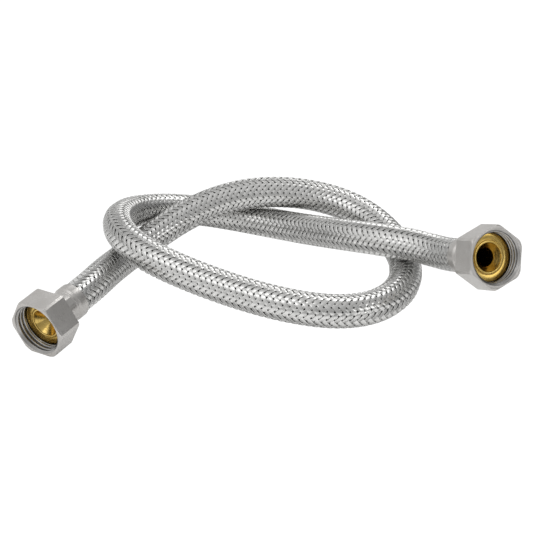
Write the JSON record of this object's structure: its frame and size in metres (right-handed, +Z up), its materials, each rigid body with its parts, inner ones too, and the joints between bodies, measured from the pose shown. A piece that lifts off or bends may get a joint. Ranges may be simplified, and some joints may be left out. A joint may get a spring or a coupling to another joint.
{
  "type": "braided supply line",
  "caption": "Flexible steel-braided water hose tied in a loose overhand knot, with crimped ferrules, brass seats and free-turning hex union nuts.",
  "frame": {"origin": "on the surface that the line lies on, midway between the two end fittings", "axes": "+Z up; +X from the fitting at the left, end a, towards the fitting at the right, end b; +Y towards the back of the knot"},
  "size_m": [0.2031, 0.1195, 0.0477],
  "materials": {
    "nut_metal": "satin nickel",
    "insert_brass": "turned and polished",
    "ferrule_steel": "satin",
    "tube_rubber": "matte",
    "braid_steel": "bright woven wire"
  },
  "bodies": {
    "hose": {"braid": "braid_steel", "inner_tube": "tube_rubber", "ferrule_a": "ferrule_steel", "ferrule_b": "ferrule_steel", "insert_a": "insert_brass", "insert_b": "insert_brass"},
    "union_nut_a": {"nut_a": "nut_metal"},
    "union_nut_b": {"nut_b": "nut_metal"}
  },
  "joints": [
    {"name": "nut_a_swivel", "type": "hinge", "parent": "hose", "child": "union_nut_a", "pos_m": [-0.0848, 0.0021, 0.01227], "axis": [-0.5433, -0.8366, -0.0698], "continuous": true},
    {"name": "nut_b_swivel", "type": "hinge", "parent": "hose", "child": "union_nut_b", "pos_m": [0.0859, -0.0008, 0.032], "axis": [0.4209, -0.8261, 0.3746], "continuous": true}
  ]
}
